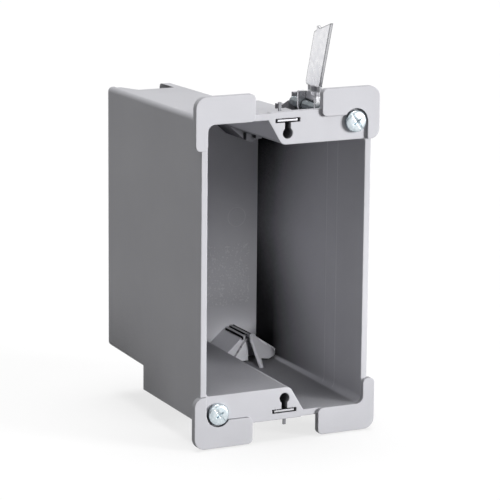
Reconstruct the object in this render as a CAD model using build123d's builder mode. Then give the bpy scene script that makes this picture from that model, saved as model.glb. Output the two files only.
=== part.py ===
from build123d import *
from math import cos, radians, tan
import os

# Single-gang old-work electrical box.
# Frame: +Z up, the room side faces -Y, millimetres.
# Origin: midway between the two device holes, in the face that the device is screwed to.
# The box looks the same after half a turn about the Y axis, so one end is made and turned.

# Body
device_spacing = 83.34
roof_margin = 6.38
body_width = 57.7
body_depth = 74.2
wall = 2.0
back_wall = 2.6
draft = 0.9
roof_step = 7.85
web_foot_x = -1.9
web_lean = 4.68
web_foot_radius = 2.5
tall_corner_radius = 2.4
short_corner_radius = 1.0
outer_edge_radius = 1.5

# Side lip that guards each screw channel, with a rib across its rear end
lip_drop = 1.35
lip_depth = 44.1
lip_foot = 4.0
lip_rib_width = 3.8
lip_rib_thickness = 1.1
lip_rib_drop = 0.3

# Ears
ear_side_reach = 2.35
ear_end_reach = 6.55
ear_thickness = 2.0
ear_proud = 1.0
ear_bar_length = 19.8
ear_bar_width = 8.5
ear_post_length = 16.4
ear_post_width = 4.0
ear_corner_radius = 3.5
ear_inner_radius = 2.2
ear_end_radius = 1.6
ear_screw_end_radius = 3.0

# Device flange, hole and clip slot
flange_rise = 0.25
flange_thickness = 2.2
device_hole_diameter = 3.4
device_neck_width = 2.0
boss_width = 11.0
boss_depth = 10.0
boss_drop = 0.8
clip_slot_margin = 2.0
clip_slot_width = 8.4
clip_slot_height = 1.3
clip_slot_depth = 8.0

# Clamp screw
screw_inset = 5.82
screw_drop = 4.1
screw_diameter = 3.5
screw_tip_y = 42.0
screw_tip_chamfer = 0.5
screw_head_diameter = 6.9
screw_head_height = 2.0
screw_head_rim = 0.9
screw_head_crown = 2.2
screw_head_bevel = 0.45
screw_slot_angle = -55.0
screw_slot_width = 0.9
screw_slot_depth = 1.0
screw_cross_length = 4.2
screw_hole_clearance = 0.1
head_clearance = 0.6

# Rest rib behind the screw tip
rest_gap = 0.5
rest_width = 2.4
rest_front_height = 4.4
rest_rear_height = 2.1
rest_slope_length = 4.2
rest_length = 9.2

# Swing bracket
plate = 1.0
saddle_front = 21.2
saddle_rear = 33.6
saddle_radius = 2.6
saddle_top = 4.5
saddle_gap = 0.3
bracket_fit = 0.05
neck_front = 23.5
neck_rear = 31.3
neck_overlap = 2.5
flute_radius = 2.4
flute_proud = 0.8
wing_foot = 7.0
wing_gap = 0.58
wing_front_foot = 21.9
wing_rear_foot = 31.2
wing_front_tip = 14.9
wing_rear_tip = 25.7
wing_rear_drop = 4.0
wing_foot_radius = 1.0
barb = ((-3.6, 1.5), (-2.0, 2.2), (-1.8, 1.0))
stow_angle = 81.5

# Device clip
clip_margin = 0.8
clip_thickness = 0.6
clip_length = 7.0
clip_inset = 0.15
clip_tab_x = -1.4
clip_tab_width = 0.9
clip_tab_reach = 2.6
clip_tab_gap = 0.3
clip_tongue_width = 1.6
clip_tongue_back = 2.6

# Moulded cable clamp, one in each rear corner, made for the lower right one
entry_near_inset = 19.85
entry_tunnel_width = 12.5
entry_depth = 11.3
hood_ridge_inset = 12.05
hood_ridge_rise = 10.1
hood_left_slope = 41.0
hood_right_slope = 34.0
hood_strip_width = 3.0
hood_strip_slope = 20.0
hood_length = 13.9
hood_shell = 1.9
groove_places = (-3.0, -1.5, -0.1)
groove_width = 0.75
groove_depth = 1.0
clamp_shell = 1.0
clamp_gap = 0.4
skirt_inset = 1.9
nose_width = 1.4
nose_height = 1.6
nose_length = 4.7
nose_drop = 0.7
nose_inset = 1.2
finger_inset = 1.55
finger_drop = 1.05
finger_edge = (
    (0, 0), (-2.3, 0), (-4.7, 1.5), (-3.7, 2.7), (-3.3, 3.6), (-2.5, 4.4), (-2.3, 4.9), (-0.4, 7.2),
)
tongue_y = 61.0

# The clamp's right flap: three points of its plane from the ridge's front end, and its outline there
flap_apex = (-1.17, -4.07, 0.77)
flap_wall = (9.57, 0.48, -7.01)
flap_foot = (0.36, -7.73, -6.76)
flap_outline = (
    (-0.6, 0.1), (1.0, -0.4), (2.2, 0.3), (4.1, 0.9), (7.3, 0.5), (14.3, -0.1),
    (12.8, 2.4), (8.7, 5.6), (3.8, 7.6), (5.0, 11.8), (4.0, 11.8), (-0.8, 2.7),
)

# Sizes that follow
half_width = body_width / 2
device_z = device_spacing / 2
high_roof = device_z + roof_margin
low_roof = high_roof - roof_step
cavity_width = half_width - wall
cavity_high = high_roof - wall
cavity_low = low_roof - wall
cavity_rear = body_depth - back_wall
lip_height = high_roof - lip_drop
ear_x = half_width + ear_side_reach
ear_z = high_roof + ear_end_reach
flange_height = high_roof + flange_rise
boss_top = high_roof - boss_drop
slot_top = flange_height - clip_slot_margin
slot_bottom = slot_top - clip_slot_height
screw_x = half_width - screw_inset
screw_z = high_roof - screw_drop
cut_start = -ear_proud - 1
past = 1.0


def across(y):
    """Sketch plane across the box at depth y, drawn as (x, z) seen from the room."""
    return Plane.XZ.offset(-y)


def half_turn(points):
    """The points and their copies after half a turn about the Y axis."""
    return points + [(-x, -z) for x, z in points]


def web_x(z):
    """Inner face of the sloping web between the two columns, at the rim."""
    return web_foot_x - web_lean * (z - cavity_low) / roof_step


def drawn_in(y):
    """How far the draft has brought a wall in at depth y."""
    return y * tan(radians(draft))


# Inside outline: a high column on the left and a low one on the right, in one Z-shaped profile
cavity_outline = half_turn([
    (-cavity_width, cavity_high),
    (web_x(cavity_high), cavity_high),
    (web_foot_x, cavity_low),
    (cavity_width, cavity_low),
])

with BuildSketch(across(0)) as shell_profile:
    with BuildLine():
        Polyline(*cavity_outline, close=True)
    make_face()
    offset(amount=wall, kind=Kind.INTERSECTION)

with BuildSketch(across(0)) as cavity_profile:
    with BuildLine():
        Polyline(*cavity_outline, close=True)
    make_face()
    corners = cavity_profile.vertices().filter_by(lambda v: abs(v.X) > cavity_width - wall)
    fillet(corners.filter_by(lambda v: v.X * v.Y < 0), radius=tall_corner_radius)
    corners = cavity_profile.vertices().filter_by(lambda v: abs(v.X) > cavity_width - wall / 4)
    fillet(corners.filter_by(lambda v: v.X * v.Y > 0), radius=short_corner_radius)
    feet = cavity_profile.vertices().sort_by(lambda v: abs(v.X) + abs(v.Y))[:2]
    fillet(feet, radius=web_foot_radius)

# One end of the box: lip, flange, boss and screw rest, made for the upper end
lip_quads = []
for y in (0, lip_depth):
    with BuildSketch(across(y)) as lip_quad:
        outer_x = half_width - drawn_in(y)
        with BuildLine():
            Polyline(
                (outer_x, low_roof - lip_foot),
                (outer_x, lip_height),
                (outer_x - wall, lip_height),
                (outer_x - wall, low_roof - lip_foot),
                close=True,
            )
        make_face()
    lip_quads.append(lip_quad.sketch)

web_edge = [
    (web_x(low_roof) + wall / 2, cavity_low + wall / 2),
    (web_x(high_roof) + wall / 2, boss_top),
]

with BuildPart() as upper_end:
    loft(lip_quads, ruled=True)
    with BuildSketch(across(lip_depth)):
        rib_right = half_width - drawn_in(lip_depth) - wall / 4
        with Locations((rib_right - lip_rib_width / 2, low_roof)):
            Rectangle(lip_rib_width, 2 * (lip_height - lip_rib_drop - low_roof))
    extrude(amount=lip_rib_thickness)
    with BuildSketch(across(0)):
        with BuildLine():
            Polyline(
                *web_edge,
                (web_x(high_roof) + wall, flange_height),
                (half_width, flange_height),
                (half_width, cavity_low + wall / 2),
                close=True,
            )
        make_face()
    extrude(amount=-flange_thickness)
    with BuildSketch(across(0)):
        with BuildLine():
            Polyline(
                *web_edge,
                (boss_width / 2, boss_top),
                (boss_width / 2, cavity_low + wall / 2),
                close=True,
            )
        make_face()
    extrude(amount=-(flange_thickness + boss_depth))
    rest_y = screw_tip_y + rest_gap
    rest_floor = low_roof - drawn_in(rest_y)
    with BuildSketch(Plane.YZ.offset(screw_x - rest_width / 2)):
        with BuildLine():
            Polyline(
                (rest_y, rest_floor - wall / 2),
                (rest_y, rest_floor + rest_front_height),
                (rest_y + rest_slope_length, rest_floor + rest_rear_height + wall / 8),
                (rest_y + rest_length, rest_floor + rest_rear_height),
                (rest_y + rest_length, rest_floor - wall / 2),
                close=True,
            )
        make_face()
    extrude(amount=rest_width)

# Everything that is cut from one end: screw hole, head pocket, device keyhole and clip slot
with BuildPart() as upper_cuts:
    boss_end = flange_thickness + boss_depth + past
    with BuildSketch(across(cut_start)):
        with Locations((0, device_z)):
            Circle(device_hole_diameter / 2)
        with Locations((0, (device_z + slot_bottom) / 2)):
            Rectangle(device_neck_width, slot_bottom - device_z)
    extrude(amount=cut_start - boss_end)
    with BuildSketch(across(cut_start)):
        with Locations((0, (slot_top + slot_bottom) / 2)):
            Rectangle(clip_slot_width, clip_slot_height)
    extrude(amount=cut_start - clip_slot_depth)
    with BuildSketch(across(flange_thickness)):
        with Locations((clip_tab_x, (slot_bottom + flange_height) / 2)):
            Rectangle(clip_tab_width + 2 * clip_tab_gap, flange_height - slot_bottom)
    extrude(amount=-(clip_thickness + 2 * clip_tab_gap))
    with BuildSketch(across(cut_start)):
        with Locations((screw_x, screw_z)):
            Circle(screw_diameter / 2 + screw_hole_clearance)
    extrude(amount=cut_start - flange_thickness - past)
    with BuildSketch(across(cut_start)):
        with Locations((screw_x, screw_z)):
            Circle(screw_head_diameter / 2 + head_clearance)
    extrude(amount=cut_start)

# Clamp hood: a ridged roof over the cable entry, with grooves along its ridge
hood_front = cavity_rear - hood_length
ridge_x = half_width - hood_ridge_inset
ridge_z = -(cavity_high - hood_ridge_rise)
strip_left = ridge_x - hood_strip_width
strip_left_z = ridge_z - hood_strip_width * tan(radians(hood_strip_slope))
hood_drop = hood_shell / cos(radians(hood_left_slope))
hood_left = drawn_in(cavity_rear) - wall / 4 - web_x(cavity_high - wall)
hood_right = cavity_width + wall / 4 - drawn_in(cavity_rear)
entry_left = half_width - entry_near_inset
entry_right = cavity_width - drawn_in(body_depth)


def hood_z(x):
    """Top of the hood at x: two slopes with a flatter strip left of the ridge."""
    if x > ridge_x:
        return ridge_z - (x - ridge_x) * tan(radians(hood_right_slope))
    if x > strip_left:
        return ridge_z - (ridge_x - x) * tan(radians(hood_strip_slope))
    return strip_left_z - (strip_left - x) * tan(radians(hood_left_slope))


def hood_line(drop, left, right):
    """The hood's outline between left and right, lowered by drop."""
    return [(x, hood_z(x) - drop) for x in (left, strip_left, ridge_x, right)]


def floor_at(y):
    """Top of the low floor at depth y."""
    return drawn_in(y) - cavity_high


with BuildPart() as clamp:
    with BuildSketch(across(hood_front)):
        with BuildLine():
            Polyline(
                *hood_line(0, hood_left, hood_right),
                *reversed(hood_line(hood_drop, hood_left, hood_right)),
                close=True,
            )
        make_face()
    extrude(amount=-(hood_length + wall / 2))
    # Skirt under the left slope
    with BuildSketch(across(hood_front)):
        skirt_foot = floor_at(hood_front) + clamp_gap
        skirt_top = strip_left_z - hood_drop / 2
        skirt_left = strip_left - (skirt_top - skirt_foot) / tan(radians(hood_left_slope))
        skirt_right = ridge_x - skirt_inset
        with BuildLine():
            Polyline(
                (skirt_left, skirt_foot),
                (strip_left, skirt_top),
                (skirt_right, skirt_top),
                (skirt_right, skirt_foot),
                close=True,
            )
        make_face()
    extrude(amount=-clamp_shell)
    with BuildSketch(across(hood_front - past)):
        for place in groove_places:
            with Locations((ridge_x + place, hood_z(ridge_x + place))):
                Rectangle(groove_width, 2 * groove_depth)
    extrude(amount=-(hood_length + past), mode=Mode.SUBTRACT)
    # Nose under the ridge, which carries the finger and the flap
    with BuildSketch(across(hood_front - nose_length)):
        with Locations((ridge_x - nose_inset, ridge_z - nose_drop - nose_height / 2)):
            Rectangle(nose_width, nose_height)
    extrude(amount=-(nose_length + hood_shell))
    # Left finger in front of the skirt, with a stepped edge
    finger_y = hood_front - clamp_gap - clamp_shell
    with BuildSketch(across(finger_y)):
        finger_right = ridge_x - finger_inset
        finger_top = ridge_z - finger_drop
        finger_foot = floor_at(finger_y) + clamp_gap
        finger_points = [(finger_right + x, finger_foot + z) for x, z in finger_edge]
        with BuildLine():
            Polyline(
                (finger_right, finger_top),
                *finger_points,
                (finger_points[-1][0], finger_top),
                close=True,
            )
        make_face()
    extrude(amount=-clamp_shell)
    # Tongue that closes the entry until a cable pushes it in
    with BuildSketch(across(tongue_y)):
        tongue_left = entry_left + clamp_gap
        tongue_right = cavity_width - drawn_in(tongue_y) - clamp_gap
        tongue_foot = floor_at(tongue_y) + clamp_gap
        with BuildLine():
            Polyline(
                *hood_line(hood_drop / 2, tongue_left, tongue_right),
                (tongue_right, tongue_foot),
                (tongue_left, tongue_foot),
                close=True,
            )
        make_face()
    extrude(amount=-clamp_shell)

# The right flap leans from the nose to the side wall and stands on one foot
ridge_end = Vector(ridge_x, hood_front, ridge_z)
along_flap = Vector(*flap_wall) - Vector(*flap_apex)
down_flap = Vector(*flap_foot) - Vector(*flap_apex)
flap_origin = ridge_end + Vector(*flap_apex)
flap_plane = Plane(origin=flap_origin, x_dir=along_flap, z_dir=along_flap.cross(down_flap))
with BuildPart() as flap:
    with BuildSketch(flap_plane):
        with BuildLine():
            Polyline(*flap_outline, close=True)
        make_face()
    extrude(amount=clamp_shell)

# Cable entry: a notch through the rear edge of the floor and an opening in the rear wall below the hood
with BuildPart() as entry:
    with BuildSketch(across(cavity_rear - past)):
        with BuildLine():
            Polyline(
                (entry_left, -high_roof - past),
                *hood_line(hood_drop, entry_left, entry_right),
                (entry_right, -high_roof - past),
                close=True,
            )
        make_face()
    extrude(amount=-(back_wall + 2 * past))
    with BuildSketch(Plane.XY.offset(-high_roof - past)):
        entry_front = body_depth - entry_depth
        with BuildLine():
            Polyline(
                (entry_left, entry_front),
                (entry_left + entry_tunnel_width, entry_front),
                (entry_right, body_depth),
                (entry_right, body_depth + past),
                (entry_left, body_depth + past),
                close=True,
            )
        make_face()
    extrude(amount=past + wall + drawn_in(body_depth))

with BuildPart() as box_body:
    extrude(shell_profile.sketch, amount=-body_depth, taper=draft)
    side_faces = box_body.faces().sort_by(Axis.X)
    long_edges = side_faces[0].edges().sort_by(Axis.Y)[1:3] + side_faces[-1].edges().sort_by(Axis.Y)[1:3]
    rear_edges = box_body.faces().sort_by(Axis.Y)[-1].edges()
    fillet(long_edges + rear_edges, radius=outer_edge_radius)
    add(upper_end.part)
    add(upper_end.part.rotate(Axis.Y, 180))
    # Four ears
    with BuildSketch(across(-ear_proud)) as ears:
        post_end = ear_z - ear_post_length
        with BuildLine():
            Polyline(
                (-ear_x, ear_z),
                (-ear_x + ear_bar_length, ear_z),
                (-ear_x + ear_bar_length, ear_z - ear_bar_width),
                (-ear_x + ear_post_width, ear_z - ear_bar_width),
                (-ear_x + ear_post_width, post_end),
                (-ear_x, post_end),
                close=True,
            )
        make_face()
        mirror(about=Plane.YZ)
        mirror(about=Plane.XZ)
        outer = ears.vertices().filter_by(lambda v: abs(v.X) > ear_x - past and abs(v.Y) > ear_z - past)
        fillet(outer, radius=ear_corner_radius)
        bar_ends = ears.vertices().filter_by(lambda v: abs(v.X) < ear_x - ear_bar_length + past)
        fillet(bar_ends, radius=ear_end_radius)
        ends = ears.vertices().filter_by(lambda v: abs(v.Y) < post_end + past)
        beside_screw = ends.filter_by(lambda v: v.X * v.Y > 0 and abs(v.X) > ear_x - past)
        fillet(beside_screw, radius=ear_screw_end_radius)
        ends = ears.vertices().filter_by(lambda v: abs(v.Y) < post_end + past)
        fillet(ends.filter_by(lambda v: v.X * v.Y < 0), radius=ear_end_radius)
        inner = ears.vertices().filter_by(
            lambda v: abs(abs(v.X) - ear_x + ear_post_width) < past / 4
            and abs(abs(v.Y) - ear_z + ear_bar_width) < past / 4
        )
        fillet(inner, radius=ear_inner_radius)
    extrude(amount=-ear_thickness)
    extrude(cavity_profile.sketch, amount=-cavity_rear, taper=draft, mode=Mode.SUBTRACT)
    extrude(cavity_profile.sketch, amount=ear_proud, mode=Mode.SUBTRACT)
    for turn in (0, 180):
        add(upper_cuts.part.rotate(Axis.Y, turn), mode=Mode.SUBTRACT)
        add(entry.part.rotate(Axis.Y, turn), mode=Mode.SUBTRACT)
        add(clamp.part.rotate(Axis.Y, turn))
        add(flap.part.rotate(Axis.Y, turn))
box_body.part.label = "box_body"

# Clamp screw, upper right
with BuildPart() as upper_clamp_screw:
    with BuildSketch(Plane.XY.offset(screw_z)):
        with BuildLine():
            Polyline(
                (screw_x, 0),
                (screw_x + screw_head_diameter / 2, 0),
                (screw_x + screw_head_diameter / 2, -screw_head_rim),
                (screw_x + screw_head_crown + screw_head_bevel, -screw_head_height + screw_head_bevel),
                (screw_x + screw_head_crown, -screw_head_height),
                (screw_x, -screw_head_height),
                close=True,
            )
        make_face()
    revolve(axis=Axis((screw_x, 0, screw_z), (0, 1, 0)))
    with BuildSketch(across(-screw_head_height)):
        with Locations((screw_x, screw_z)):
            Rectangle(screw_head_diameter + past, screw_slot_width, rotation=screw_slot_angle)
            Rectangle(screw_cross_length, screw_slot_width, rotation=screw_slot_angle + 90)
    extrude(amount=-screw_slot_depth, mode=Mode.SUBTRACT)
    with BuildSketch(across(0)):
        with Locations((screw_x, screw_z)):
            Circle(screw_diameter / 2)
    extrude(amount=-screw_tip_y)
    tip = upper_clamp_screw.faces().sort_by(Axis.Y)[-1].edges()
    chamfer(tip, length=screw_tip_chamfer)
upper_clamp_screw.part.label = "upper_clamp_screw"

lower_clamp_screw = upper_clamp_screw.part.rotate(Axis.Y, 180)
lower_clamp_screw.label = "lower_clamp_screw"

# Swing bracket, upper right, swung out: a saddle on the screw, a fluted neck and a leaning wing
saddle_z = screw_z + saddle_top
wing_foot_z = screw_z + wing_foot
wing_top = screw_z + screw_x - web_x(high_roof) - wall - wing_gap
with BuildPart() as upper_swing_bracket:
    for leg_y in (saddle_front, saddle_rear - plate):
        with BuildSketch(across(leg_y)):
            with Locations((screw_x, screw_z)):
                Circle(saddle_radius)
            with Locations((screw_x, (screw_z + saddle_z) / 2)):
                Rectangle(2 * saddle_radius, saddle_top)
            with Locations((screw_x, screw_z)):
                Circle(screw_diameter / 2 + bracket_fit, mode=Mode.SUBTRACT)
        extrude(amount=-plate)
    with BuildSketch(Plane.YZ.offset(screw_x)):
        web_low = screw_z + screw_diameter / 2 + saddle_gap
        with BuildLine():
            Polyline(
                (saddle_front, web_low),
                (saddle_front, saddle_z),
                (neck_front, saddle_z),
                (neck_front, wing_foot_z + neck_overlap),
                (neck_rear, wing_foot_z + neck_overlap),
                (neck_rear, saddle_z),
                (saddle_rear, saddle_z),
                (saddle_rear, web_low),
                close=True,
            )
        make_face()
    extrude(amount=plate)
    # Flute that stiffens the neck
    with BuildSketch(Plane.XY.offset(saddle_z - flute_proud)):
        with Locations((screw_x + flute_radius - flute_proud, (neck_front + neck_rear) / 2)):
            Circle(flute_radius)
        with Locations((screw_x + plate + flute_radius, (neck_front + neck_rear) / 2)):
            Rectangle(2 * flute_radius, 2 * flute_radius + past, mode=Mode.SUBTRACT)
    extrude(amount=wing_foot_z - saddle_z + flute_proud)
    with BuildSketch(Plane.YZ.offset(screw_x - plate)) as wing:
        barb_z = wing_top - wing_rear_drop
        with BuildLine():
            Polyline(
                (wing_front_foot, wing_foot_z),
                (wing_front_tip, wing_top),
                *[(wing_rear_tip + y, barb_z + z) for y, z in barb],
                (wing_rear_tip, barb_z),
                (wing_rear_foot, wing_foot_z),
                close=True,
            )
        make_face()
        fillet(wing.vertices().group_by(Axis.Y)[0], radius=wing_foot_radius)
    extrude(amount=plate)
upper_swing_bracket.part.label = "upper_swing_bracket"

# The lower bracket is the same piece, stowed in its channel
lower_screw_axis = Axis((-screw_x, 0, -screw_z), (0, 1, 0))
lower_swing_bracket = upper_swing_bracket.part.rotate(Axis.Y, 180).rotate(lower_screw_axis, -stow_angle)
lower_swing_bracket.label = "lower_swing_bracket"

# Device clip, upper: a strip in the slot, a tab behind the flange and a sprung tongue
strip_width = clip_slot_width - 2 * clip_margin
strip_z = (slot_top + slot_bottom) / 2
tab_y = flange_thickness + clip_tab_gap
with BuildPart() as upper_device_clip:
    with BuildSketch(across(clip_inset)):
        with Locations((0, strip_z)):
            Rectangle(strip_width, clip_thickness)
    extrude(amount=-clip_length)
    with BuildSketch(across(tab_y)):
        tab_top = flange_height + clip_tab_reach
        with Locations((clip_tab_x, (strip_z + tab_top) / 2)):
            Rectangle(clip_tab_width, tab_top - strip_z)
    extrude(amount=-clip_thickness)
    with BuildSketch(Plane.YZ.offset(-clip_tongue_width / 2)):
        strip_rear = clip_inset + clip_length
        tongue_z = device_z + device_hole_diameter / 2 + clip_inset
        with BuildLine():
            Polyline(
                (strip_rear, strip_z),
                (strip_rear - clip_tongue_back, tongue_z),
                (strip_rear - clip_tongue_back - clip_thickness, tongue_z),
                (strip_rear - 2 * clip_thickness, strip_z),
                close=True,
            )
        make_face()
    extrude(amount=clip_tongue_width)
upper_device_clip.part.label = "upper_device_clip"

lower_device_clip = upper_device_clip.part.rotate(Axis.Y, 180)
lower_device_clip.label = "lower_device_clip"

os.makedirs("parts", exist_ok=True)
pieces = [
    box_body.part,
    upper_clamp_screw.part,
    lower_clamp_screw,
    upper_swing_bracket.part,
    lower_swing_bracket,
    upper_device_clip.part,
    lower_device_clip,
]
for piece in pieces:
    export_step(piece, f"parts/{piece.label}.step")
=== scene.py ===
import bpy
from math import cos, pi, radians, sin
from mathutils import Matrix, Vector


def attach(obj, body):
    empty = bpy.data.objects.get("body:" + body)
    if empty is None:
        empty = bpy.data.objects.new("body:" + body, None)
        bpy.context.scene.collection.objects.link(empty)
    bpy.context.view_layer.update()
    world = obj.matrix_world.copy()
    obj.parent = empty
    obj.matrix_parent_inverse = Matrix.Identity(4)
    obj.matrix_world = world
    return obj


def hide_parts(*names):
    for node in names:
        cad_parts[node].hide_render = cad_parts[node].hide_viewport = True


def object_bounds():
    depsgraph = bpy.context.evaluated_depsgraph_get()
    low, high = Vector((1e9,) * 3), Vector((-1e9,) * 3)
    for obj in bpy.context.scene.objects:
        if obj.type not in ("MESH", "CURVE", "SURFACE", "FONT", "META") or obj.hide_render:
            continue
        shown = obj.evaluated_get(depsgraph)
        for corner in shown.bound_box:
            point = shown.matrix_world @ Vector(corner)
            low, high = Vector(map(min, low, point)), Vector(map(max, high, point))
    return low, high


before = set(bpy.data.objects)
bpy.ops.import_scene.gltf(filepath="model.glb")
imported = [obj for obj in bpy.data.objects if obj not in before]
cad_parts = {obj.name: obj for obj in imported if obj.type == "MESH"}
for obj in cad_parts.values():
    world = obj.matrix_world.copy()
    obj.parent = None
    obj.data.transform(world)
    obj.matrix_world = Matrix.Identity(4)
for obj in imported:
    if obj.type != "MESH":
        bpy.data.objects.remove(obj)
cad_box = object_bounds()
nodes = {name: bpy.data.objects[name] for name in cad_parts}

MM = 0.001
WHITE = (1, 1, 1, 1)
HALF_TURN = Matrix.Rotation(pi, 4, "Y")

# Camera, as fitted to the photograph's edges
camera_yaw = radians(26.405)
camera_pitch = radians(12.466)
camera_roll = radians(0.54)
camera_place = Vector((-370.28, -720.79, 184.39)) * MM
camera_lens = 195.05
sensor_width = 36.0

# Lamps: two soft suns, and two narrow spots on the cable clamp and the back wall, in metres and degrees
suns = {
    "key": {"place": (0.68, -0.70, 0.12), "strength": 4.6, "spread": 20},
    "top": {"place": (0.02, 0.10, 1.0), "strength": 2.15, "spread": 40},
}
spots = {
    "clamp_kicker": {"place": (-0.09, -0.80, 0.19), "target": (0.016, 0.056, -0.043),
                     "strength": 58.0, "cone": 1.0, "radius": 0.012},
    "cavity_fill": {"place": (-0.15, -1.60, 0.36), "target": (0.016, 0.060, -0.028),
                    "strength": 90.0, "cone": 1.6, "radius": 0.03},
}

# World, floor, and the dark cards that the plated metal reflects, in metres
ambient_strength = 0.168
floor_glow = 0.75
floor_albedo = 0.26
floor_drop = 0.0005
floor_half_size = 3.0
cards = {
    "left_card": {"place": (-0.95, -0.35), "width": 0.5, "low": 0.0, "high": 0.5},
    "front_card": {"place": (-0.1, -1.25), "width": 0.22, "low": 0.25, "high": 0.6},
}
card_greys = (0.01, 0.02)
card_mottle_scale = 3.0

# Box plastic: colours as seen on a screen, and bumps as (strength, distance in metres)
plastic_tints = ((185, 185, 190), (191, 191, 196))
plastic_roughness = (0.46, 0.56)
plastic_edge = 0.0004
mottle_scale = 60.0
swell_scale = 130.0
swell_bump = (0.10, 0.0006)
grain_scale = 2200.0
grain_bump = (0.10, 0.0002)
plastic_gloss = 0.35
# Gloss lost where the painted shade darkens the plastic
gloss_lost_in_corners = 0.33
mark_tint = (250, 250, 250)
mark_strength = 0.22
mark_bump = (1.0, 0.00012)
# Painted shade: the near-black colour that the plastic turns to in corners and pits
corner_painted_shade_tint = (20, 20, 22)

# Painted shade on the plastic, by its openness within a reach, the way it faces, and its depth, in metres
corner_reach = 0.045
corner_openness = (0.42, 0.92)
pit_reach = 0.006
pit_openness = (0.15, 0.50)
pit_shade = 0.92
left_facing = (-0.98, -0.85)
left_depths = (0.015, 0.060)
up_facing = (0.9, 1.0)
up_shades = (0.08, 0.6)
down_facing = (-0.8, -0.5)
down_shade = 0.9

# Moulding marks inside the box, in millimetres
side_wall_x = 26.4
side_wall_slack = 0.6
flow_line_depths = (23.8, 17.1)
flow_line_reach = 0.25
back_wall_y = 71.6
back_wall_slack = 0.4
pin_x, pin_z = 18.1, 0.6
pin_radius = 3.2
pin_line_reach = 0.16
rough_x, rough_z = 15.0, -19.0
rough_half_width, rough_half_height = 8.0, 10.5
rough_scale = 1500.0
rough_level = 0.6

# Plated metal: patches, darker sheared edges, and painted shade round the brackets' face rims and across the
# drawn-in neck, in metres
metal_bump = (0.05, 0.0001)
duller, brighter = 1.3, 0.8
# The colour of the painted shade on the screws, clips and brackets
metal_painted_shade_tint = (70, 72, 75)
sheared_facing = (0.4, 0.8)
sheared_edge_darkening = 0.25
rim_reach = 0.0009
rim_turn = (0.84, 0.97)
# Painted shade round the rim of each bracket face, and across its neck
rim_painted_shade = 0.8
neck_heights = (0.048, 0.052)
neck_painted_shade = 0.8
# Painted shade at the deep end of the screws' threads and the clips' tabs
deepest_painted_shade = 0.7

# Clamp screw sizes repeated from the part, in millimetres
screw_x = 23.03
screw_z = 43.95
screw_radius = 1.75
screw_length = 42.0
head_radius = 3.45
head_height = 2.0
slot_angle = radians(-55)
slot_width = 0.9

# Thread, which the part leaves plain, and a finer head than the part's, in millimetres and degrees
axis_gap = 0.02
screw_root = 1.36
screw_pitch = 0.794
thread_clearance = 0.02
thread_facets = 24
thread_shape = ((0.0, 0), (0.36, 1), (0.46, 1), (0.82, 0), (1.0, 0))
run_in_gap, run_in = 0.6, 0.8
run_out_gap, run_out = 0.3, 1.6
tip_bevel = 0.45
core_share = 0.99
core_tip = 0.5
core_bevel = 0.47
core_facets = 32
head_facets = 72
head_edge = 0.06
crown = ((1.2, 0.02), (2.1, 0.1))
rim_centre = (2.25, -0.95)
rim_height = 0.97
rim_steps = 8
rim_start = 80
head_foot_bevel = 0.08
slot_length = 8
slot_depth = 0.6
cross_length = 4.3
cross_width = 0.85
cross_depth = 1.1
cross_taper = 0.35

# Cable hood at the upper right, in millimetres: its points from the web's foot to the side wall
hood_foot_x, hood_foot_z = 3.4, 38.3
hood_strip_x, hood_strip_z = 13.8, 29.2
hood_ridge_x, hood_ridge_z = 16.8, 28.1
hood_wall_x, hood_wall_z = 25.9, 34.1
hood_shell = 1.9
hood_strip_shift = 0.6
hood_foot_shift = 2.4
hood_front, hood_rear = 57.7, 71.5
hood_edge = 0.25
finger_size = (2.2, 2.4, 2.6)
finger_reach = 0.9
finger_rise = 0.6
finger_places = ((14.6, 29.9), (18.2, 30.2))

sharp_angle = 35


def make_camera():
    ahead = cos(camera_pitch)
    forward = Vector((sin(camera_yaw) * ahead, cos(camera_yaw) * ahead, -sin(camera_pitch)))
    level = Vector((cos(camera_yaw), -sin(camera_yaw), 0))
    upright = level.cross(forward)
    right = level * cos(camera_roll) + upright * sin(camera_roll)
    up = upright * cos(camera_roll) - level * sin(camera_roll)
    data = bpy.data.cameras.new("camera")
    data.lens = camera_lens
    data.sensor_width = sensor_width
    data.sensor_fit = "HORIZONTAL"
    camera = bpy.data.objects.new("camera", data)
    bpy.context.collection.objects.link(camera)
    turn = Matrix((right, up, -forward)).transposed().to_4x4()
    camera.matrix_world = Matrix.Translation(camera_place) @ turn
    bpy.context.scene.camera = camera


def aim(lamp, place, target):
    lamp.location = place
    lamp.rotation_euler = (Vector(target) - Vector(place)).to_track_quat("-Z", "Y").to_euler()
    bpy.context.collection.objects.link(lamp)


def make_lamps():
    for name, sun in suns.items():
        lamp = bpy.data.lights.new(name, "SUN")
        lamp.energy = sun["strength"]
        lamp.angle = radians(sun["spread"])
        aim(bpy.data.objects.new(name, lamp), sun["place"], (0, 0, 0))
    for name, spot in spots.items():
        lamp = bpy.data.lights.new(name, "SPOT")
        lamp.energy = spot["strength"]
        lamp.spot_size = radians(spot["cone"])
        lamp.spot_blend = 1.0
        lamp.shadow_soft_size = spot["radius"]
        aim(bpy.data.objects.new(name, lamp), spot["place"], spot["target"])


# Node helpers
def new_material(name):
    material = bpy.data.materials.new(name)
    material.use_nodes = True
    tree = material.node_tree
    return material, tree, tree.nodes["Principled BSDF"]


def node(tree, kind, inputs=None, **settings):
    """A new node, with its inputs by name or number: another node's socket is linked, a value is set."""
    made = tree.nodes.new(kind)
    for key, value in settings.items():
        setattr(made, key, value)
    for key, value in (inputs or {}).items():
        if isinstance(value, bpy.types.NodeSocket):
            tree.links.new(value, made.inputs[key])
        else:
            made.inputs[key].default_value = value
    return made


def maths(tree, how, *values):
    return node(tree, "ShaderNodeMath", dict(enumerate(values)), operation=how).outputs[0]


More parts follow.
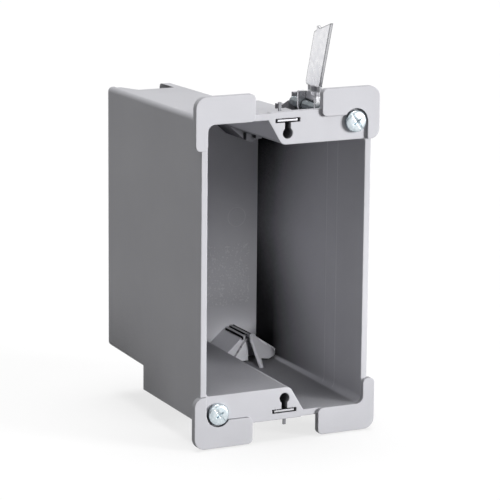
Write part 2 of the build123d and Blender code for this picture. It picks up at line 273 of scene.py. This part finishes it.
def between(tree, value, span, levels=(0.0, 1.0)):
    """The first level up to the span's start, the second from its end on, and even between them."""
    limits = {"From Min": span[0], "From Max": span[1], "To Min": levels[0], "To Max": levels[1]}
    return node(tree, "ShaderNodeMapRange", {"Value": value, **limits}).outputs["Result"]


def axes_of(tree, vector):
    return node(tree, "ShaderNodeSeparateXYZ", {0: vector}).outputs


def mixed(tree, factor, first, second):
    """The first colour where the factor is 0, and the second where it is 1."""
    return node(tree, "ShaderNodeMix", {0: factor, 6: first, 7: second}, data_type="RGBA").outputs[2]


def noise(tree, place, scale, detail=2.0):
    made = node(tree, "ShaderNodeTexNoise", {"Vector": place, "Scale": scale, "Detail": detail})
    return made.outputs["Fac"]


def openness(tree, reach):
    return node(tree, "ShaderNodeAmbientOcclusion", {"Distance": reach}, samples=8).outputs["AO"]


def object_place(tree):
    return node(tree, "ShaderNodeTexCoord").outputs["Object"]


def surface_normal(tree):
    return node(tree, "ShaderNodeNewGeometry").outputs["Normal"]


def srgb(*values):
    """Colour as seen on a screen, 0 to 255, turned into the renderer's linear one."""
    linear = [v / 255 / 12.92 if v < 11 else ((v / 255 + 0.055) / 1.055) ** 2.4 for v in values]
    return (*linear, 1.0)


def grey(value):
    return (value, value, value, 1.0)


def ramp(tree, factor, stops):
    made = tree.nodes.new("ShaderNodeValToRGB")
    tree.links.new(factor, made.inputs["Fac"])
    elements = made.color_ramp.elements
    for element, (place, colour) in zip(elements, stops):
        element.position = place
        element.color = colour
    for place, colour in stops[2:]:
        elements.new(place).color = colour
    return made.outputs["Color"]


def patchy(tree, pattern, low, high, ends=(0.3, 0.7)):
    """The low colour where the pattern is at its first end and the high one where it is at its second."""
    return ramp(tree, pattern, [(ends[0], low), (ends[1], high)])


def finish_normal(tree, shader, heights, edge_radius):
    """Softened edges with one bump after another on top, each (height, strength, distance)."""
    normal = node(tree, "ShaderNodeBevel", {"Radius": edge_radius}, samples=6).outputs["Normal"]
    for height, strength, distance in heights:
        bump = node(tree, "ShaderNodeBump", {"Height": height, "Strength": strength, "Distance": distance})
        tree.links.new(normal, bump.inputs["Normal"])
        normal = bump.outputs["Normal"]
    tree.links.new(normal, shader.inputs["Normal"])


def near(tree, value, target, reach):
    """1 where the value is within reach of the target and 0 elsewhere, both in millimetres."""
    return maths(tree, "COMPARE", value, target * MM, reach * MM)


# Box plastic
def mould_marks(tree, place):
    """Two flow lines down each side wall, and a round pin mark and a rough patch on the back."""
    axes = axes_of(tree, place)
    x, y, z = (axes[axis] for axis in "XYZ")
    wide = maths(tree, "ABSOLUTE", x)
    lines = maths(tree, "MAXIMUM", *(near(tree, y, depth, flow_line_reach) for depth in flow_line_depths))
    lines = maths(tree, "MULTIPLY", lines, near(tree, wide, side_wall_x, side_wall_slack))
    spot = node(tree, "ShaderNodeCombineXYZ", {0: x, 2: z}).outputs[0]
    pin = (pin_x * MM, 0.0, pin_z * MM)
    from_pin = node(tree, "ShaderNodeVectorMath", {0: spot, 1: pin}, operation="DISTANCE").outputs["Value"]
    ring = near(tree, from_pin, pin_radius, pin_line_reach)
    dots = maths(tree, "GREATER_THAN", noise(tree, place, rough_scale, 1.0), rough_level)
    patch = maths(tree, "MULTIPLY", near(tree, z, rough_z, rough_half_height),
                  near(tree, x, rough_x, rough_half_width))
    rough = maths(tree, "MULTIPLY", dots, patch)
    back = maths(tree, "MAXIMUM", ring, rough)
    back = maths(tree, "MULTIPLY", back, near(tree, y, back_wall_y, back_wall_slack))
    return maths(tree, "MAXIMUM", lines, back)


def painted_corner_shade(tree, place):
    """Painted shade on the plastic: in corners, most on faces that look left, up or down, and in narrow pits.
    """
    deep = between(tree, openness(tree, corner_reach), corner_openness, (1.0, 0.0))
    facing = axes_of(tree, surface_normal(tree))
    left = between(tree, facing["X"], left_facing, (1.0, 0.0))
    up = between(tree, facing["Z"], up_facing, up_shades)
    rear = between(tree, axes_of(tree, place)["Y"], left_depths)
    left = maths(tree, "MULTIPLY", left, rear)
    down = between(tree, facing["Z"], down_facing, (down_shade, 0.0))
    weight = maths(tree, "MAXIMUM", left, up)
    weight = maths(tree, "MAXIMUM", weight, down)
    corner = maths(tree, "MULTIPLY", deep, weight)
    pit = between(tree, openness(tree, pit_reach), pit_openness, (pit_shade, 0.0))
    return maths(tree, "MAXIMUM", corner, pit)


def box_plastic():
    material, tree, shader = new_material("box_plastic")
    place = object_place(tree)
    mottle = noise(tree, place, mottle_scale, 4.0)
    darker, paler = plastic_tints
    unshaded = patchy(tree, mottle, srgb(*darker), srgb(*paler))
    marks = mould_marks(tree, place)
    unshaded = mixed(tree, maths(tree, "MULTIPLY", marks, mark_strength), unshaded, srgb(*mark_tint))
    # Painted shade: the colour goes towards near black in corners and pits
    plastic_painted_shade = painted_corner_shade(tree, place)
    tree.links.new(mixed(tree, plastic_painted_shade, unshaded, srgb(*corner_painted_shade_tint)), shader.inputs["Base Color"])
    smoothest, roughest = plastic_roughness
    tree.links.new(patchy(tree, mottle, grey(smoothest), grey(roughest)), shader.inputs["Roughness"])
    # The gloss drops with the painted shade
    gloss = maths(tree, "MULTIPLY_ADD", plastic_painted_shade, -gloss_lost_in_corners, plastic_gloss)
    tree.links.new(gloss, shader.inputs["Specular IOR Level"])
    grain = noise(tree, place, grain_scale)
    swell = noise(tree, place, swell_scale)
    bumps = [(marks, *mark_bump), (swell, *swell_bump), (grain, *grain_bump)]
    finish_normal(tree, shader, bumps, plastic_edge)
    return material


# Plated metal
def painted_depth_shade(start, end):
    """Painted shade, darker from one depth behind the room side to another, in millimetres."""
    def painted_shade(tree):
        depth = axes_of(tree, object_place(tree))["Y"]
        return between(tree, depth, (start * MM, end * MM), (0.0, deepest_painted_shade))
    return painted_shade


def painted_bracket_shade(tree):
    """Painted shade round the rim of each face and across the upper bracket's neck, and darker along the
    sheared edges.
    """
    normal = axes_of(tree, node(tree, "ShaderNodeTexCoord").outputs["Normal"])
    sheared = between(tree, maths(tree, "ABSOLUTE", normal["Y"]), sheared_facing, (0.0, sheared_edge_darkening))
    rounded = node(tree, "ShaderNodeBevel", {"Radius": rim_reach}, samples=8).outputs["Normal"]
    turn = node(tree, "ShaderNodeVectorMath", {0: rounded, 1: surface_normal(tree)}, operation="DOT_PRODUCT")
    rim = between(tree, turn.outputs["Value"], rim_turn, (rim_painted_shade, 0.0))
    edge = maths(tree, "MAXIMUM", sheared, rim)
    height = between(tree, axes_of(tree, object_place(tree))["Z"], neck_heights)
    unshaded, dark = grey(0.0), grey(neck_painted_shade)
    neck = ramp(tree, height, [(0.20, unshaded), (0.35, dark), (0.65, dark), (0.75, unshaded)])
    return maths(tree, "MAXIMUM", edge, neck)


def plated_metal(name, light, dark, roughness, patch_scale, edge_radius, painted_shade):
    material, tree, shader = new_material(name)
    shader.inputs["Metallic"].default_value = 1.0
    place = object_place(tree)
    patches = noise(tree, place, patch_scale, 3.0)
    colour = patchy(tree, patches, srgb(*dark), srgb(*light), (0.35, 0.65))
    # Painted shade mixed into the colour
    colour = mixed(tree, painted_shade(tree), colour, srgb(*metal_painted_shade_tint))
    tree.links.new(colour, shader.inputs["Base Color"])
    tree.links.new(patchy(tree, patches, grey(roughness * duller), grey(roughness * brighter)),
                   shader.inputs["Roughness"])
    finish_normal(tree, shader, [(patches, *metal_bump)], edge_radius)
    return material


def dress(piece, material):
    slots = piece.material_slots
    if slots:
        for slot in slots:
            slot.material = material
    else:
        piece.data.materials.append(material)


# World, floor and cards
def seen_plain(tree):
    """1 for rays that look straight at a surface, in a reflection or through glass, and 0 for all others."""
    path = node(tree, "ShaderNodeLightPath")
    seen = maths(tree, "MAXIMUM", path.outputs["Is Camera Ray"], path.outputs["Is Glossy Ray"])
    return maths(tree, "MAXIMUM", seen, path.outputs["Is Transmission Ray"])


def make_world():
    world = bpy.data.worlds.new("studio")
    world.use_nodes = True
    bpy.context.scene.world = world
    tree = world.node_tree
    tree.nodes.clear()
    out = tree.nodes.new("ShaderNodeOutputWorld")
    ambient = node(tree, "ShaderNodeBackground", {"Color": WHITE, "Strength": ambient_strength})
    white = node(tree, "ShaderNodeBackground", {"Color": WHITE, "Strength": 1.0})
    mix = node(tree, "ShaderNodeMixShader", {0: seen_plain(tree), 1: ambient.outputs[0], 2: white.outputs[0]})
    tree.links.new(mix.outputs[0], out.inputs["Surface"])


def mesh_object(name, vertices, faces):
    mesh = bpy.data.meshes.new(name)
    mesh.from_pydata(vertices, [], faces)
    made = bpy.data.objects.new(name, mesh)
    bpy.context.collection.objects.link(made)
    return made


def make_floor():
    """A pale floor just under the part's lowest point at rest."""
    low = cad_box[0][2] - floor_drop
    h = floor_half_size
    floor = mesh_object("floor", [(-h, -h, low), (h, -h, low), (h, h, low), (-h, h, low)], [(0, 1, 2, 3)])
    material, tree, shader = new_material("pale_floor")
    tree.nodes.remove(shader)
    diffuse = node(tree, "ShaderNodeBsdfDiffuse", {"Color": grey(floor_albedo)})
    strength = maths(tree, "MULTIPLY", seen_plain(tree), floor_glow)
    glow = node(tree, "ShaderNodeEmission", {"Color": WHITE, "Strength": strength})
    both = node(tree, "ShaderNodeAddShader", {0: diffuse.outputs[0], 1: glow.outputs[0]})
    tree.links.new(both.outputs[0], tree.nodes["Material Output"].inputs["Surface"])
    floor.data.materials.append(material)


def make_cards():
    """Upright dark panels that face the part and cast no shadow."""
    material, tree, shader = new_material("dark_card")
    place = object_place(tree)
    darker, paler = card_greys
    mottle = noise(tree, place, card_mottle_scale)
    tree.links.new(patchy(tree, mottle, grey(darker), grey(paler)), shader.inputs["Base Color"])
    shader.inputs["Roughness"].default_value = 1.0
    for name, sizes in cards.items():
        x, y = sizes["place"]
        low, high = sizes["low"], sizes["high"]
        across = Vector((y, -x, 0)).normalized() * sizes["width"] / 2
        corners = [(x - across.x, y - across.y, low), (x + across.x, y + across.y, low),
                   (x + across.x, y + across.y, high), (x - across.x, y - across.y, high)]
        card = mesh_object(name, corners, [(0, 1, 2, 3)])
        card.data.materials.append(material)
        card.visible_shadow = False


# Mesh helpers
def turned(profile, segments):
    """Vertices and faces of a (radius, y) profile in millimetres turned about the Y axis, in metres."""
    vertices = []
    faces = []
    for r, y in profile:
        for i in range(segments):
            a = 2 * pi * i / segments
            vertices.append((r * cos(a) * MM, y * MM, r * sin(a) * MM))
    for j in range(len(profile) - 1):
        for i in range(segments):
            k = (i + 1) % segments
            faces.append((j * segments + i, (j + 1) * segments + i, (j + 1) * segments + k, j * segments + k))
    faces.append(tuple(range(segments)))
    faces.append(tuple(reversed(range((len(profile) - 1) * segments, len(profile) * segments))))
    return vertices, faces


def block(name, size, place, turn=0.0):
    """A box of that size in millimetres, centred at place and turned about the Y axis through place."""
    x, y, z = (s / 2 * MM for s in size)
    corners = [(i, j, k) for i in (-x, x) for j in (-y, y) for k in (-z, z)]
    faces = [(0, 1, 3, 2), (4, 6, 7, 5), (0, 4, 5, 1), (2, 3, 7, 6), (0, 2, 6, 4), (1, 5, 7, 3)]
    made = mesh_object(name, corners, faces)
    made.data.transform(Matrix.Translation(Vector(place) * MM) @ Matrix.Rotation(turn, 4, "Y"))
    return made


def bevelled(piece, width):
    made = piece.modifiers.new("edges", "BEVEL")
    made.width = width * MM
    made.segments = 2
    made.limit_method = "ANGLE"
    made.angle_limit = radians(sharp_angle)


def baked(piece):
    """The piece with its modifiers worked into its mesh."""
    graph = bpy.context.evaluated_depsgraph_get()
    mesh = bpy.data.meshes.new_from_object(piece.evaluated_get(graph))
    piece.modifiers.clear()
    piece.data = mesh
    return piece


def cut_out(piece, cutter):
    tool = piece.modifiers.new("cut", "BOOLEAN")
    tool.operation = "DIFFERENCE"
    tool.solver = "EXACT"
    tool.object = cutter
    baked(piece)
    bpy.data.objects.remove(cutter)


def join(first, others):
    """One object out of several, made by adding the others' meshes to the first."""
    vertices = [v.co[:] for v in first.data.vertices]
    faces = [tuple(p.vertices) for p in first.data.polygons]
    for other in others:
        base = len(vertices)
        vertices += [v.co[:] for v in other.data.vertices]
        faces += [tuple(i + base for i in p.vertices) for p in other.data.polygons]
        bpy.data.objects.remove(other)
    mesh = bpy.data.meshes.new(first.name)
    mesh.from_pydata(vertices, [], faces)
    first.data = mesh
    return first


def smooth(piece):
    piece.data.polygons.foreach_set("use_smooth", [True] * len(piece.data.polygons))
    piece.data.set_sharp_from_angle(angle=radians(sharp_angle))
    piece.data.update()


# Clamp screws: a rolled thread, and a head with a slot and a cross recess
def screw_head(name):
    profile = [(axis_gap, -head_height)]
    profile += [(r, -head_height + drop) for r, drop in crown]
    centre_r, centre_y = rim_centre
    for step in range(rim_steps + 1):
        a = radians(-rim_start + rim_start * step / rim_steps)
        profile.append((centre_r + (head_radius - centre_r) * cos(a), centre_y + rim_height * sin(a)))
    profile += [(head_radius, -head_foot_bevel), (head_radius - head_foot_bevel, 0), (axis_gap, 0)]
    head = mesh_object(name, *turned(profile, head_facets))
    top = (0, -head_height, 0)
    cut_out(head, block("slot", (slot_length, 2 * slot_depth, slot_width), top, -slot_angle))
    for turn in (0, pi / 2):
        wing = block("wing", (cross_length, 2 * cross_depth, cross_width), top, -slot_angle + turn)
        for vertex in wing.data.vertices:
            if vertex.co.y > -head_height * MM:
                vertex.co.x *= cross_taper
                vertex.co.z *= cross_taper
        cut_out(head, wing)
    return head


def screw_shank(name):
    """Helical thread from the head to the tip, thinning out at both ends, round a plain core."""
    vertices = []
    faces = []
    steps = int(screw_length / screw_pitch * thread_facets)
    depth = screw_radius - thread_clearance - screw_root
    for i in range(steps + 1):
        a = 2 * pi * i / thread_facets
        base = (i / thread_facets - 1) * screw_pitch
        for along, high in thread_shape:
            y = min(max(base + along * screw_pitch, 0.0), screw_length)
            fade_in = max(0.0, (y - run_in_gap) / run_in)
            fade_out = max(0.0, (screw_length - run_out_gap - y) / run_out)
            r = screw_root + depth * high * min(1.0, fade_in, fade_out)
            if y > screw_length - tip_bevel:
                r -= (y - screw_length + tip_bevel)
            vertices.append((r * cos(a) * MM, y * MM, r * sin(a) * MM))
    n = len(thread_shape)
    for i in range(steps):
        for j in range(n - 1):
            faces.append((i * n + j, i * n + j + 1, (i + 1) * n + j + 1, (i + 1) * n + j))
    shank = mesh_object(name, vertices, faces)
    core_radius = screw_root * core_share
    core_end = screw_length - axis_gap
    core = turned([(axis_gap, 0.0), (core_radius, 0.0), (core_radius, screw_length - core_tip),
                   (screw_root - core_bevel, core_end), (axis_gap, core_end)], core_facets)
    return join(shank, [mesh_object(name + "_core", *core)])


def make_screw(end, material):
    name = f"{end}_screw"
    head = screw_head(name)
    bevelled(head, head_edge)
    screw = join(baked(head), [screw_shank(name + "_thread")])
    smooth(screw)
    screw.data.transform(Matrix.Translation(Vector((screw_x, 0, screw_z)) * MM))
    if end == "lower":
        screw.data.transform(HALF_TURN)
    dress(screw, material)
    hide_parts(f"{end}_clamp_screw")
    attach(screw, f"{end}_screw")


# Cable hoods at the upper right and lower left, which the part doesn't have
def cable_hood(name, turned_over, material):
    outline = [(hood_foot_x, hood_foot_z), (hood_strip_x, hood_strip_z), (hood_ridge_x, hood_ridge_z),
               (hood_wall_x, hood_wall_z), (hood_wall_x, hood_wall_z + hood_shell),
               (hood_ridge_x, hood_ridge_z + hood_shell),
               (hood_strip_x + hood_strip_shift, hood_strip_z + hood_shell),
               (hood_foot_x + hood_foot_shift, hood_foot_z)]
    n = len(outline)
    vertices = [(x * MM, y * MM, z * MM) for y in (hood_front, hood_rear) for x, z in outline]
    faces = [(i, (i + 1) % n, n + (i + 1) % n, n + i) for i in range(n)]
    faces += [tuple(reversed(range(n))), tuple(range(n, 2 * n))]
    hood = mesh_object(name, vertices, faces)
    for x, z in finger_places:
        finger = block("finger", finger_size, (x, hood_front - finger_reach, z + finger_rise))
        hood = join(hood, [finger])
    if turned_over:
        hood.data.transform(HALF_TURN)
    bevelled(hood, hood_edge)
    smooth(baked(hood))
    dress(hood, material)
    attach(hood, "box")


make_camera()
make_world()
make_cards()
make_floor()
make_lamps()

plastic = box_plastic()
bracket_steel = plated_metal("bracket_steel", light=(236, 236, 238), dark=(226, 226, 230), roughness=0.28,
                             patch_scale=500.0, edge_radius=0.00018, painted_shade=painted_bracket_shade)
# The screw's thread and the clip's tab darken with painted shade behind the front
screw_zinc = plated_metal("screw_zinc", light=(214, 222, 226), dark=(186, 198, 204), roughness=0.22,
                          patch_scale=700.0, edge_radius=0.00005, painted_shade=painted_depth_shade(1.0, 3.0))
spring_steel = plated_metal("spring_steel", light=(190, 190, 193), dark=(160, 160, 165), roughness=0.3,
                            patch_scale=500.0, edge_radius=0.0001, painted_shade=painted_depth_shade(1.4, 2.2))
dress(nodes["box_body"], plastic)
cable_hood("upper_right_hood", False, plastic)
cable_hood("lower_left_hood", True, plastic)
for end in ("upper", "lower"):
    dress(nodes[f"{end}_swing_bracket"], bracket_steel)
    dress(nodes[f"{end}_device_clip"], spring_steel)
    make_screw(end, screw_zinc)

bpy.context.scene.view_settings.view_transform = "Standard"
